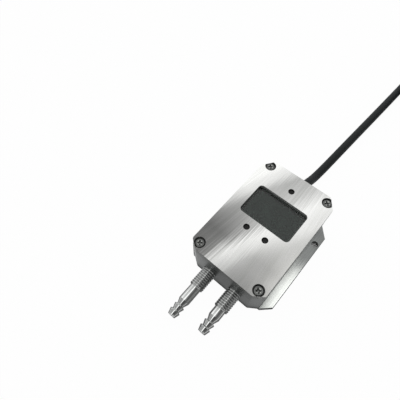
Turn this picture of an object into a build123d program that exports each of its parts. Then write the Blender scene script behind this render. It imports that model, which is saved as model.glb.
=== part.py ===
from build123d import *
import math
import os

# Differential pressure transmitter: a machined aluminium box with a brushed cover, a display behind a window,
# three recessed buttons, two threaded hose barbs on the front and a cable out of the back.
# Millimetres. The origin is on the base, under the box's centre. +Y points to the cable, the barbs point to -Y,
# and the cover faces +Z.

# Box outline
box_width = 45.0
box_length = 68.0
overall_height = 27.0
cover_thickness = 4.0
front_cut_x = 5.1
front_cut_y = 3.6
back_cut_x = 4.6
back_cut_y = 6.3
corner_blend = 1.5
edge_break = 0.12

# Housing walls
side_wall = 3.0
front_wall = 6.0
back_wall = 4.0
floor_thickness = 2.4
post_size = 8.6
pocket_blend = 2.0

# Mounting ears
ear_reach = 5.5
ear_thickness = 2.7
ear_front_start = 3.2
ear_front_cut = 5.0
ear_back_start = 0.6
ear_back_cut_x = 5.0
ear_back_cut_y = 6.9
ear_blend = 0.8
ear_hole_dia = 3.8
ear_hole_inset = 2.7
ear_hole_y = 18.4

# Cover screws
screw_inset_x = 4.45
screw_inset_y = 4.05
screw_thread_dia = 3.0
screw_length = 10.0
screw_head_dia = 5.3
screw_head_height = 2.0
screw_hole_dia = 3.4
counterbore_dia = 6.0
counterbore_depth = 2.5
tapped_extra_depth = 1.5
cross_width = 0.75
cross_span = 3.0
cross_depth = 1.2
cross_bottom_span = 0.35
cross_bottom_width = 0.8
head_rounding = 0.4
thread_clearance = 0.05

# Gasket
gasket_inset = 0.6
gasket_width = 1.2
gasket_thickness = 0.9

# Window and lens
window_width = 30.1
window_height = 19.6
window_y = 7.2
window_corner = 2.2
ledge_thickness = 1.8
ledge_width = 1.9
seat_corner = 1.0
seal_thickness = 0.3
seal_width = 1.6
lens_thickness = 1.5
lens_clearance = 0.1

# Display
lcd_gap = 0.2
lcd_glass_thickness = 2.6
lcd_glass_inset = 0.4
bezel_wall = 0.9
bezel_clearance = 0.1
bezel_drop = 0.3
contact_strip_width = 2.0
contact_strip_inset = 0.5
backlight_clearance = 0.2
display_board_drop = 5.0
board_thickness = 1.6
board_edge_clearance = 0.9

# Standoffs and board screws
standoff_dia = 4.4
standoff_spigot_dia = 3.0
standoff_spigot_length = 1.5
standoff_spigot_gap = 0.2
front_standoff_x = 15.8
front_standoff_y = -21.5
rear_standoff_x = 10.3
rear_standoff_y = 25.2
board_screw_dia = 2.0
board_screw_length = 4.0
board_head_dia = 3.8
board_head_height = 1.3
board_hole_clearance = 0.15
board_cross_width = 0.5
board_cross_share = 0.6
standoff_extra_depth = 0.4

# Buttons
button_hole_dia = 3.4
button_clearance = 0.08
button_recess = 0.9
button_flange_dia = 5.2
button_flange_thickness = 0.8
button_lift_gap = 0.1
button_travel = 0.4
front_button_x = 5.7
front_button_y = -8.2
rear_button_y = 23.5
switch_side = 5.2
switch_height = 3.4
switch_blend = 0.4
stem_dia = 2.0
stem_depth = 1.0

# Hose barbs
barb_spacing = 16.6
barb_height = 8.4
barb_thread_dia = 8.0
barb_thread_out = 11.2
barb_thread_chamfer = 0.6
barb_shank_dia = 6.2
long_shank = 8.8
short_shank = 4.8
barb_cone = 2.8
barb_neck_dia = 3.9
barb_step = 0.6
barb_crest_dia = 6.0
barb_pitch = 3.2
barb_valley_dia = 4.1
barb_tip_taper = 2.95
barb_tip_dia = 4.15
barb_bore_dia = 2.4
spigot_dia = 4.0
spigot_length = 5.5

# Main board, sensor and tubes
boss_height = 1.2
boss_dia = 5.0
boss_x = 15.6
boss_front_y = -17.5
boss_rear_y = 21.4
main_board_front_y = -21.0
main_board_rear_y = 24.4
boss_hole_depth = 2.6
main_screw_length = 3.8
sensor_width = 18.0
sensor_length = 14.0
sensor_height = 7.2
sensor_front_y = -4.0
sensor_cap_inset = 2.0
sensor_cap_height = 1.0
sensor_corner_cut = 0.8
sensor_port_depth = 3.0
sensor_port_spacing = 9.2
sensor_port_length = 5.5
tube_wall = 1.0
tube_fit = 0.03
tube_overlap = 4.8
tube_straight = 1.6

# Small parts on the main board
stack_x = 15.4
stack_y = 0.0
stack_length = 14.0
stack_width = 2.5
stack_header_height = 2.6
stack_pin_side = 0.6
stack_pin_pitch = 2.0
stack_pin_reach = 3.0
stack_pin_clearance = 0.05
stack_pin_tip_gap = 0.3
chip_x = -12.4
chip_y = 14.2
chip_side = 6.0
chip_height = 1.2
chip_edge = 0.2
regulator_x = 12.6
regulator_y = 13.6
regulator_width = 6.0
regulator_length = 5.4
regulator_height = 2.3
regulator_edge = 0.3
capacitor_dia = 5.0
capacitor_height = 5.6
capacitor_x = -14.2
capacitor_front_y = -8.0
capacitor_pitch = 6.4
capacitor_rounding = 0.5
terminal_width = 15.0
terminal_length = 5.0
terminal_height = 6.4
terminal_rear_y = 24.0
terminal_pitch = 5.0
terminal_screw_dia = 3.0
terminal_screw_height = 1.2
terminal_screw_sunk = 0.8
terminal_edge = 0.6
terminal_slot_width = 0.6
terminal_slot_depth = 0.4
terminal_entry_depth = 1.5

# Cable entry
cable_dia = 5.3
entry_height = 7.2
gland_dia = 8.0
gland_flange_dia = 9.3
gland_flange_thickness = 1.4
gland_nose_length = 4.6
gland_nose_dia = 6.6
gland_clearance = 0.05
tie_width = 1.2
tie_wall = 0.7
tie_head_width = 3.0
tie_head_height = 1.6
cable_end_margin = 0.2
lead_dia = 1.3
lead_fan = 1.45
lead_bend = 0.3
lead_reach = 1.2
lead_entry_clearance = 0.05

# Free cable: route on the table, then the put-away coil
cable_route = [
    (0.0, 40.0, 7.2),
    (0.0, 48.8, 7.2),
    (1.5, 65.4, 2.65),
    (3.7, 98.0, 2.65),
    (6.1, 138.6, 2.65),
    (8.2, 179.2, 2.65),
]
coil_x = 37.95
coil_y = 183.0
coil_turn_radius = 26.7
coil_tie_angle = 20.0
coil_tie_width = 9.0
coil_tie_thickness = 0.6
bare_end_angle = 152.0
bare_lead_length = 26.0
bare_lead_spacing = 1.4

# Places worked out from the sizes above
box_half_width = box_width / 2
box_half_length = box_length / 2
rim_z = overall_height - cover_thickness
post_x = box_half_width - post_size
post_y = box_half_length - post_size
pocket_x = box_half_width - side_wall
pocket_front_y = front_wall - box_half_length
pocket_rear_y = box_half_length - back_wall
ear_x = box_half_width + ear_reach
screw_x = box_half_width - screw_inset_x
screw_y = box_half_length - screw_inset_y
screw_seat_z = overall_height - counterbore_depth
ledge_z = overall_height - ledge_thickness
lens_top_z = ledge_z - seal_thickness
lens_bottom_z = lens_top_z - lens_thickness
glass_top_z = lens_bottom_z - lcd_gap
glass_bottom_z = glass_top_z - lcd_glass_thickness
display_top_z = rim_z - display_board_drop
display_bottom_z = display_top_z - board_thickness
seat_width = window_width + 2 * ledge_width
seat_height = window_height + 2 * ledge_width
glass_width = seat_width - 2 * lcd_glass_inset
glass_height = seat_height - 2 * lcd_glass_inset
board_bottom_z = floor_thickness + boss_height
board_top_z = board_bottom_z + board_thickness
wall_front_y = -box_half_length
barb_x = barb_spacing / 2
switch_top_z = display_top_z + switch_height
flange_top_z = rim_z - button_lift_gap
flange_bottom_z = flange_top_z - button_flange_thickness
button_places = {
    "rear": (0.0, rear_button_y),
    "left": (-front_button_x, front_button_y),
    "right": (front_button_x, front_button_y),
}
cable_inner_y = pocket_rear_y - gland_flange_thickness - tie_width - 2 * cable_end_margin
gland_nose_y = box_half_length + gland_flange_thickness + gland_nose_length


def slab(low, high):
    """A box between two opposite corners."""
    size = [b - a for a, b in zip(low, high)]
    middle = [(a + b) / 2 for a, b in zip(low, high)]
    return Pos(*middle) * Box(*size)


def rod(start, end, diameter):
    """A round bar from one point to another."""
    along = Vector(*end) - Vector(*start)
    base = Plane(origin=start, z_dir=along)
    return base * Cylinder(diameter / 2, along.length, align=(Align.CENTER, Align.CENTER, Align.MIN))


def rounded_plate(width, height, corner, centre, bottom, thickness):
    """A plate with rounded corners, lying flat."""
    face = RectangleRounded(width, height, corner)
    return Pos(centre[0], centre[1], bottom) * extrude(face, thickness)


def mirrored_outline(right_side, blend):
    """A face from the outline's right side, front to back, repeated on the left, with its corners blended."""
    left_side = [(-x, y) for x, y in reversed(right_side)]
    face = make_face(Polyline(*right_side, *left_side, close=True))
    shortest = min(edge.length for edge in face.edges())
    return fillet(face.vertices(), min(blend, 0.45 * shortest))


def box_outline():
    """Plan of the cover and the housing: a rectangle with its four corners cut off."""
    right_side = [
        (box_half_width - front_cut_x, -box_half_length),
        (box_half_width, front_cut_y - box_half_length),
        (box_half_width, box_half_length - back_cut_y),
        (box_half_width - back_cut_x, box_half_length),
    ]
    return mirrored_outline(right_side, corner_blend)


def ear_outline():
    """Plan of the base flange, which stands out on both long sides."""
    front_y = ear_front_start - box_half_length
    back_y = box_half_length - ear_back_start
    right_side = [
        (ear_x - ear_front_cut, front_y),
        (ear_x, front_y + ear_front_cut),
        (ear_x, back_y - ear_back_cut_y),
        (ear_x - ear_back_cut_x, back_y),
    ]
    return mirrored_outline(right_side, ear_blend)


def pocket_outline(margin):
    """Plan of the cavity, kept clear of the four screw posts, and grown by a margin."""
    front_y = pocket_front_y - margin
    rear_y = pocket_rear_y + margin
    right_side = [
        (post_x + margin, front_y),
        (post_x + margin, -post_y - margin),
        (pocket_x + margin, -post_y - margin),
        (pocket_x + margin, post_y + margin),
        (post_x + margin, post_y + margin),
        (post_x + margin, rear_y),
    ]
    return mirrored_outline(right_side, pocket_blend)


def four_places(x, front_y, rear_y):
    """The same place in the four corners."""
    return [(sx * x, y) for sx in (-1, 1) for y in (front_y, rear_y)]


def cover_screw_places():
    return four_places(screw_x, -screw_y, screw_y)


def standoff_places():
    front = [(sx * front_standoff_x, front_standoff_y) for sx in (-1, 1)]
    rear = [(sx * rear_standoff_x, rear_standoff_y) for sx in (-1, 1)]
    return front + rear


def boss_places():
    return four_places(boss_x, boss_front_y, boss_rear_y)


def housing():
    """Milled box with a pocket, four screw posts, two ears, two tapped ports and the cable hole."""
    body = extrude(box_outline(), rim_z)
    body += extrude(ear_outline(), ear_thickness)
    body -= Pos(0, 0, floor_thickness) * extrude(pocket_outline(0), overall_height)
    groove = pocket_outline(gasket_inset + gasket_width) - pocket_outline(gasket_inset)
    body -= Pos(0, 0, rim_z - gasket_thickness) * extrude(groove, overall_height)
    for x, y in boss_places():
        boss = rod((x, y, floor_thickness), (x, y, board_bottom_z), boss_dia)
        hole = rod((x, y, board_bottom_z - boss_hole_depth), (x, y, board_top_z),
                   board_screw_dia + 2 * thread_clearance)
        body = body + boss - hole
    tapped_z = screw_seat_z - screw_length - tapped_extra_depth
    for x, y in cover_screw_places():
        body -= rod((x, y, tapped_z), (x, y, overall_height), screw_thread_dia + 2 * thread_clearance)
    for x in (-barb_x, barb_x):
        start = (x, wall_front_y - 1, barb_height)
        end = (x, pocket_front_y + 1, barb_height)
        body -= rod(start, end, barb_thread_dia + 2 * thread_clearance)
    for side in (-1, 1):
        x = side * (ear_x - ear_hole_inset)
        y = side * ear_hole_y
        body -= rod((x, y, -1), (x, y, ear_thickness + 1), ear_hole_dia)
    start = (0, pocket_rear_y - 1, entry_height)
    end = (0, box_half_length + 1, entry_height)
    body -= rod(start, end, gland_dia + 2 * gland_clearance)
    return body


def cover():
    """Brushed plate with the window, its ledge, the counterbored screw holes and three button holes."""
    plate = extrude(box_outline(), cover_thickness)
    top_edges = plate.faces().sort_by(Axis.Z)[-1].edges()
    plate = Pos(0, 0, rim_z) * chamfer(top_edges, edge_break)
    plate -= rounded_plate(window_width, window_height, window_corner, (0, window_y), rim_z - 1,
                           cover_thickness + 2)
    plate -= rounded_plate(seat_width, seat_height, seat_corner, (0, window_y), rim_z - 1,
                           ledge_z - rim_z + 1)
    for x, y in cover_screw_places():
        plate -= rod((x, y, rim_z - 1), (x, y, overall_height + 1), screw_hole_dia)
        plate -= rod((x, y, screw_seat_z), (x, y, overall_height + 1), counterbore_dia)
    for x, y in button_places.values():
        plate -= rod((x, y, rim_z - 1), (x, y, overall_height + 1), button_hole_dia)
    for x, y in standoff_places():
        spigot_hole = standoff_spigot_dia + 2 * thread_clearance
        hole_top = rim_z + standoff_spigot_length + standoff_spigot_gap
        plate -= rod((x, y, rim_z - 1), (x, y, hole_top), spigot_hole)
    return plate


def cover_gasket():
    """Flat rubber ring that fills the groove in the rim."""
    ring = pocket_outline(gasket_inset + gasket_width) - pocket_outline(gasket_inset)
    return Pos(0, 0, rim_z - gasket_thickness) * extrude(ring, gasket_thickness)


def cross_recess(top_z, span, width, depth):
    """The cross-shaped cutter for a screw's head, tapering to its bottom."""
    top = Rectangle(span, width) + Rectangle(width, span)
    low_span = span * cross_bottom_span
    low_width = width * cross_bottom_width
    bottom = Rectangle(low_span, low_width) + Rectangle(low_width, low_span)
    return Pos(0, 0, top_z) * loft([Pos(0, 0, -depth) * bottom, top])


def cover_screws():
    """Four pan-head screws with cross recesses."""
    screws = []
    head = Cylinder(screw_head_dia / 2, screw_head_height, align=(Align.CENTER, Align.CENTER, Align.MIN))
    head = fillet(head.edges().sort_by(Axis.Z)[-1], screw_head_height * head_rounding)
    recess = cross_recess(screw_head_height, cross_span, cross_width, cross_depth)
    shank = rod((0, 0, -screw_length), (0, 0, 0), screw_thread_dia)
    one = chamfer((head + shank - recess).edges().sort_by(Axis.Z)[0], edge_break)
    for x, y in cover_screw_places():
        screws.append(Pos(x, y, screw_seat_z) * one)
    return screws


def window_seal():
    """Adhesive frame between the ledge and the lens."""
    width = seat_width - 2 * lens_clearance
    height = seat_height - 2 * lens_clearance
    outer = rounded_plate(width, height, seat_corner, (0, window_y), lens_top_z, seal_thickness)
    inner = rounded_plate(width - 2 * seal_width, height - 2 * seal_width, window_corner, (0, window_y),
                          lens_top_z - 1, seal_thickness + 2)
    return outer - inner


def display_window():
    """Dark lens bonded under the ledge."""
    width = seat_width - 2 * lens_clearance
    height = seat_height - 2 * lens_clearance
    return rounded_plate(width, height, seat_corner, (0, window_y), lens_bottom_z, lens_thickness)


def lcd_glass():
    """The display's glass sandwich, with its lower sheet's step on one side left plain."""
    half_w = glass_width / 2
    half_h = glass_height / 2
    low = (-half_w, window_y - half_h, glass_bottom_z)
    high = (half_w, window_y + half_h, glass_top_z)
    return slab(low, high)


def lcd_contact_strips():
    """Two rubber contact strips between the glass and the board."""
    half_w = glass_width / 2 - contact_strip_inset
    strips = []
    for side in (-1, 1):
        edge = window_y + side * (glass_height / 2 - contact_strip_inset)
        near = edge - side * contact_strip_width
        low = (-half_w, min(edge, near), display_top_z)
        high = (half_w, max(edge, near), glass_bottom_z)
        strips.append(slab(low, high))
    return strips


def lcd_backlight():
    """Light guide under the glass, between the two contact strips."""
    half_w = glass_width / 2 - contact_strip_inset
    half_h = glass_height / 2 - contact_strip_inset - contact_strip_width - backlight_clearance
    low = (-half_w, window_y - half_h, display_top_z)
    high = (half_w, window_y + half_h, glass_bottom_z)
    return slab(low, high)


def lcd_bezel():
    """Frame round the glass, standing on the board."""
    inner_w = glass_width + 2 * bezel_clearance
    inner_h = glass_height + 2 * bezel_clearance
    height = rim_z - bezel_drop - display_top_z
    centre = (0, window_y)
    outer = rounded_plate(inner_w + 2 * bezel_wall, inner_h + 2 * bezel_wall, bezel_wall, centre, display_top_z,
                          height)
    inner = Pos(0, window_y, display_top_z + height / 2) * Box(inner_w, inner_h, 2 * height)
    return outer - inner


def display_board():
    """Board that hangs from the cover and carries the display and the switches."""
    board = Pos(0, 0, display_bottom_z) * extrude(board_outline(), board_thickness)
    for x, y in standoff_places():
        hole = board_screw_dia + 2 * board_hole_clearance
        board -= rod((x, y, display_bottom_z - 1), (x, y, display_top_z + 1), hole)
    header = slab((stack_x - stack_width / 2, stack_y - stack_length / 2, display_bottom_z - 1),
                  (stack_x + stack_width / 2, stack_y + stack_length / 2, display_bottom_z))
    return board - header


def board_outline():
    """The cavity's plan less a clearance all round."""
    return pocket_outline(-board_edge_clearance)


def standoff(height):
    """Pressed standoff, standing at the origin, with its spigot at the top and a screw hole below."""
    body = rod((0, 0, 0), (0, 0, height), standoff_dia)
    body += rod((0, 0, height), (0, 0, height + standoff_spigot_length), standoff_spigot_dia)
    hole_depth = board_screw_length - board_thickness + standoff_extra_depth
    return body - rod((0, 0, -1), (0, 0, hole_depth), board_screw_dia + 2 * thread_clearance)


def board_standoffs():
    one = standoff(rim_z - display_top_z)
    return [Pos(x, y, display_top_z) * one for x, y in standoff_places()]


def small_screw(length):
    """Pan-head board screw with its head's seat at the origin and its thread along -Z."""
    head = Cylinder(board_head_dia / 2, board_head_height, align=(Align.CENTER, Align.CENTER, Align.MIN))
    head = fillet(head.edges().sort_by(Axis.Z)[-1], board_head_height * head_rounding)
    recess = cross_recess(board_head_height, board_head_dia * board_cross_share, board_cross_width,
                          board_head_height * board_cross_share)
    return head + rod((0, 0, -length), (0, 0, 0), board_screw_dia) - recess


def display_board_screws():
    """Screws that hold the board to the standoffs, heads down."""
    one = Rot(180, 0, 0) * small_screw(board_screw_length)
    return [Pos(x, y, display_bottom_z) * one for x, y in standoff_places()]


def switch_bases():
    """Three square switch housings on the display board, each with its stem's guide."""
    bases = []
    guide = stem_dia + 2 * button_clearance
    guide_bottom = switch_top_z - stem_depth - 2 * button_travel
    for x, y in button_places.values():
        base = rounded_plate(switch_side, switch_side, switch_blend, (x, y), display_top_z, switch_height)
        bases.append(base - rod((x, y, guide_bottom), (x, y, switch_top_z + 1), guide))
    return bases


def button_cap(place):
    """Black plunger in its cover hole, with a flange that keeps it under the cover."""
    x, y = place
    plunger_dia = button_hole_dia - 2 * button_clearance
    top_z = overall_height - button_recess
    cap = rod((x, y, flange_top_z), (x, y, top_z), plunger_dia)
    cap = chamfer(cap.edges().sort_by(Axis.Z)[-1], edge_break)
    return cap + rod((x, y, flange_bottom_z), (x, y, flange_top_z), button_flange_dia)


def button_stem(place):
    """The switch's own actuator, which the cap presses."""
    x, y = place
    return rod((x, y, switch_top_z - stem_depth), (x, y, flange_bottom_z), stem_dia)


def hose_barb(x, shank):
    """Bored fitting, turned about its axis: inner spigot, thread, plain shank, cone and two teeth."""
    stations = [
        (spigot_dia / 2, spigot_length),
        (spigot_dia / 2, 0),
        (barb_thread_dia / 2, 0),
        (barb_thread_dia / 2, -front_wall - barb_thread_out + barb_thread_chamfer),
        (barb_thread_dia / 2 - barb_thread_chamfer, -front_wall - barb_thread_out),
        (barb_shank_dia / 2, -front_wall - barb_thread_out),
    ]
    y = -front_wall - barb_thread_out - shank
    stations.append((barb_shank_dia / 2, y))
    y -= barb_cone
    stations.append((barb_neck_dia / 2, y))
    y -= barb_step
    stations.append((barb_crest_dia / 2, y))
    y -= barb_pitch - barb_step
    stations.append((barb_valley_dia / 2, y))
    y -= barb_step
    stations.append((barb_crest_dia / 2, y))
    y -= barb_tip_taper
    stations.append((barb_tip_dia / 2, y))
    stations.append((barb_bore_dia / 2, y))
    stations.append((barb_bore_dia / 2, spigot_length))
    profile = make_face(Polyline(*stations, close=True))
    return Pos(x, pocket_front_y, barb_height) * revolve(profile, Axis.Y, 360)


def main_board():
    """Lower board on the housing's four bosses."""
    low = (-pocket_x + board_edge_clearance, main_board_front_y, board_bottom_z)
    high = (pocket_x - board_edge_clearance, main_board_rear_y, board_top_z)
    board = slab(low, high)
    for x, y in boss_places():
        hole = board_screw_dia + 2 * board_hole_clearance
        board -= rod((x, y, board_bottom_z - 1), (x, y, board_top_z + 1), hole)
    return board


def main_board_screws():
    one = small_screw(main_screw_length)
    return [Pos(x, y, board_top_z) * one for x, y in boss_places()]


def pressure_sensor():
    """Sensor block with a raised lid and two ports that face the barbs."""
    half = sensor_width / 2
    low = (-half, sensor_front_y, board_top_z)
    high = (half, sensor_front_y + sensor_length, board_top_z + sensor_height)
    block = chamfer(slab(low, high).edges().filter_by(Axis.Z), sensor_corner_cut)
    lid_low = (-half + sensor_cap_inset, sensor_front_y + sensor_cap_inset, high[2])
    lid_high = (half - sensor_cap_inset, high[1] - sensor_cap_inset, high[2] + sensor_cap_height)
    block += slab(lid_low, lid_high)
    for side in (-1, 1):
        x = side * sensor_port_spacing / 2
        tip = (x, sensor_front_y - sensor_port_length, barb_height)
        block += rod(tip, (x, sensor_front_y, barb_height), spigot_dia)
        bottom = (x, sensor_front_y + sensor_port_depth, barb_height)
        block -= rod((x, tip[1] - 1, barb_height), bottom, barb_bore_dia)
    return block


def inner_tube(side):
    """Silicone tube from a barb's inner spigot to the sensor's port."""
    start_y = pocket_front_y + spigot_length - tube_overlap
    end_y = sensor_front_y - sensor_port_length + tube_overlap
    x0 = side * barb_x
    x1 = side * sensor_port_spacing / 2
    straight = tube_overlap + tube_straight
    points = [
        (x0, start_y, barb_height),
        (x0, start_y + straight, barb_height),
        (x1, end_y - straight, barb_height),
        (x1, end_y, barb_height),
    ]
    path = FilletPolyline(*points, radius=route_radii(points))
    inner = spigot_dia / 2 + tube_fit
    section = Plane(origin=points[0], z_dir=(0, 1, 0)) * (Circle(inner + tube_wall) - Circle(inner))
    return sweep(section, path=path)


def stack_socket():
    """Tall socket on the main board for the pins of the board above."""
    low = (stack_x - stack_width / 2, stack_y - stack_length / 2, board_top_z)
    high = (stack_x + stack_width / 2, stack_y + stack_length / 2, display_bottom_z - stack_header_height)
    socket = slab(low, high)
    for y in stack_pin_rows():
        half = stack_pin_side / 2 + stack_pin_clearance
        socket -= slab((stack_x - half, y - half, high[2] - stack_pin_reach - stack_pin_tip_gap),
                       (stack_x + half, y + half, high[2] + 1))
    return socket


def stack_pin_rows():
    count = int(stack_length / stack_pin_pitch)
    first = stack_y - (count - 1) * stack_pin_pitch / 2
    return [first + i * stack_pin_pitch for i in range(count)]


def stack_header():
    """Header under the display board, with its pins down in the socket."""
    bottom = display_bottom_z - stack_header_height
    low = (stack_x - stack_width / 2, stack_y - stack_length / 2, bottom)
    high = (stack_x + stack_width / 2, stack_y + stack_length / 2, display_bottom_z)
    header = slab(low, high)
    half = stack_pin_side / 2
    for y in stack_pin_rows():
        header += slab((stack_x - half, y - half, bottom - stack_pin_reach), (stack_x + half, y + half, bottom))
    return header


def controller_chip():
    half = chip_side / 2
    low = (chip_x - half, chip_y - half, board_top_z)
    high = (chip_x + half, chip_y + half, board_top_z + chip_height)
    return chamfer(slab(low, high).edges().group_by(Axis.Z)[-1], chip_edge)


def regulator():
    low = (regulator_x - regulator_width / 2, regulator_y - regulator_length / 2, board_top_z)
    high = (regulator_x + regulator_width / 2, regulator_y + regulator_length / 2,
            board_top_z + regulator_height)
    return chamfer(slab(low, high).edges().group_by(Axis.Z)[-1], regulator_edge)


def capacitors():
    cans = []
    for i in range(2):
        y = capacitor_front_y + i * capacitor_pitch
        can = rod((capacitor_x, y, board_top_z), (capacitor_x, y, board_top_z + capacitor_height), capacitor_dia)
        cans.append(fillet(can.edges().sort_by(Axis.Z)[-1], capacitor_rounding))
    return cans


def terminal_ways():
    return [-terminal_pitch, 0.0, terminal_pitch]


def cable_terminal():
    """Screw terminal block for the cable's conductors."""
    front_y = terminal_rear_y - terminal_length
    top_z = board_top_z + terminal_height
    half = terminal_width / 2
    block = slab((-half, front_y, board_top_z), (half, terminal_rear_y, top_z))
    block = chamfer(block.edges().filter_by(Axis.X).group_by(Axis.Z)[-1], terminal_edge)
    middle_y = terminal_rear_y - terminal_length / 2
    for x in terminal_ways():
        hole = terminal_screw_dia + 2 * thread_clearance
        block -= rod((x, middle_y, top_z - terminal_screw_sunk - terminal_screw_height), (x, middle_y, top_z + 1),
                     hole)
        entry = (x, terminal_rear_y - terminal_entry_depth, entry_height)
        block -= rod(entry, (x, terminal_rear_y + 1, entry_height), lead_dia + 2 * lead_entry_clearance)
    return block


def terminal_screws():
    screws = []
    top_z = board_top_z + terminal_height - terminal_screw_sunk
    middle_y = terminal_rear_y - terminal_length / 2
    for x in terminal_ways():
        screw = rod((x, middle_y, top_z - terminal_screw_height), (x, middle_y, top_z), terminal_screw_dia)
        slot = Pos(x, middle_y, top_z) * Box(terminal_screw_dia + 1, terminal_slot_width, 2 * terminal_slot_depth)
        screws.append(screw - slot)
    return screws


def cable_gland():
    """Rubber grommet in the back wall, with a short tapered nose round the cable."""
    bore = cable_dia / 2 + gland_clearance
    inner_y = pocket_rear_y - gland_flange_thickness
    outer_y = box_half_length + gland_flange_thickness
    stations = [
        (bore, inner_y),
        (gland_flange_dia / 2, inner_y),
        (gland_flange_dia / 2, pocket_rear_y),
        (gland_dia / 2, pocket_rear_y),
        (gland_dia / 2, box_half_length),
        (gland_flange_dia / 2, box_half_length),
        (gland_flange_dia / 2, outer_y),
        (gland_dia / 2, outer_y),
        (gland_nose_dia / 2, gland_nose_y),
        (bore, gland_nose_y),
    ]
    profile = make_face(Polyline(*stations, close=True))
    return Pos(0, 0, entry_height) * revolve(profile, Axis.Y, 360)


def cable_inner_end():
    """The cable's first stretch, from inside the housing to the grommet's nose."""
    return rod((0, cable_inner_y, entry_height), (0, gland_nose_y, entry_height), cable_dia)


def strain_tie():
    """Small tie that stops the cable from pulling out."""
    front_y = cable_inner_y + cable_end_margin
    back_y = front_y + tie_width
    ring = rod((0, front_y, entry_height), (0, back_y, entry_height), cable_dia + 2 * tie_wall)
    head_low = (-tie_head_width / 2, front_y, entry_height + cable_dia / 2)
    head_high = (tie_head_width / 2, back_y, entry_height + cable_dia / 2 + tie_wall + tie_head_height)
    ring += slab(head_low, head_high)
    bore = cable_dia + 2 * gland_clearance
    return ring - rod((0, front_y - 1, entry_height), (0, back_y + 1, entry_height), bore)


def inner_leads():
    """Three insulated conductors from the cable to the terminal."""
    leads = []
    middle_y = (cable_inner_y + terminal_rear_y) / 2
    for side, x in zip((-1, 0, 1), terminal_ways()):
        start = (lead_fan * side, cable_inner_y, entry_height)
        end = (x, terminal_rear_y - lead_reach, entry_height)
        if side == 0:
            leads.append(rod(start, end, lead_dia))
            continue
        points = [start, (start[0], middle_y + 3 * lead_bend, entry_height), (x, middle_y - lead_bend, entry_height),
                  end]
        path = FilletPolyline(*points, radius=lead_bend)
        leads.append(sweep(Plane(origin=start, z_dir=(0, -1, 0)) * Circle(lead_dia / 2), path=path))
    return leads


def route_radii(points):
    """The largest arc at each corner of a route that its two runs allow."""
    radii = []
    for before, corner, after in zip(points, points[1:], points[2:]):
        first = Vector(*corner) - Vector(*before)
        second = Vector(*after) - Vector(*corner)
        half_turn = math.radians(first.get_angle(second) / 2)
        radii.append(0.45 * min(first.length, second.length) / math.tan(half_turn))
    return radii


def cable():
    """The free cable from the grommet's nose to the coil, lying on the table."""
    radii = route_radii(cable_route)
    print("cable radii", [round(r, 1) for r in radii])
    path = FilletPolyline(*cable_route, radius=radii)
    along = Vector(*cable_route[1]) - Vector(*cable_route[0])
    tube = sweep(Plane(origin=cable_route[0], z_dir=along) * Circle(cable_dia / 2), path=path)
    expected = math.pi * cable_dia ** 2 / 4 * path.length
    print("cable length", round(path.length, 1), "volume ratio", round(tube.volume / expected, 4))
    return tube


def coil_turn_centres():
    """Radius and height of the coil's five turns: two on the table, two on them, and one in the groove on top."""
    inner = coil_turn_radius - cable_dia / 2
    outer = coil_turn_radius + cable_dia / 2
    low_z = coil_tie_thickness + cable_dia / 2
    high_z = low_z + cable_dia
    top_z = high_z + cable_dia * math.sin(math.radians(60))
    return [(outer, low_z), (inner, low_z), (inner, high_z), (outer, high_z), (coil_turn_radius, top_z)]


def coil_section(margin):
    """Cross-section round the coil's turns, as a face in the XZ plane."""
    edges = []
    for radius, z in coil_turn_centres():
        edges += (Pos(radius, z) * Circle(cable_dia / 2 + margin)).edges()
    return Plane.XZ * make_hull(edges)


def cable_coil():
    """The put-away length: five turns, wound two wide with the last one on top."""
    return Pos(coil_x, coil_y, 0) * revolve(coil_section(0), Axis.Z, 360)


def coil_tie():
    """Hook-and-loop band round the coil's turns."""
    band = coil_section(coil_tie_thickness) - coil_section(0)
    sweep_angle = math.degrees(coil_tie_width / coil_turn_radius)
    turned = Rot(0, 0, coil_tie_angle - sweep_angle / 2) * revolve(band, Axis.Z, sweep_angle)
    return Pos(coil_x, coil_y, 0) * turned


def cable_leads():
    """Three bare conductor ends that come out of the cable's end and lie on the coil's top turn."""
    leads = []
    top_radius, top_z = coil_turn_centres()[-1]
    reach = (cable_dia + lead_dia) / 2
    for side in (-1, 0, 1):
        offset = side * bare_lead_spacing
        radius = top_radius + offset
        z = top_z + math.sqrt(reach ** 2 - offset ** 2)
        turn = math.degrees(bare_lead_length / radius)
        section = Plane.XZ * (Pos(radius, z) * Circle(lead_dia / 2))
        lead = Rot(0, 0, bare_end_angle - turn) * revolve(section, Axis.Z, turn)
        leads.append(Pos(coil_x, coil_y, 0) * lead)
    return leads


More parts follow.
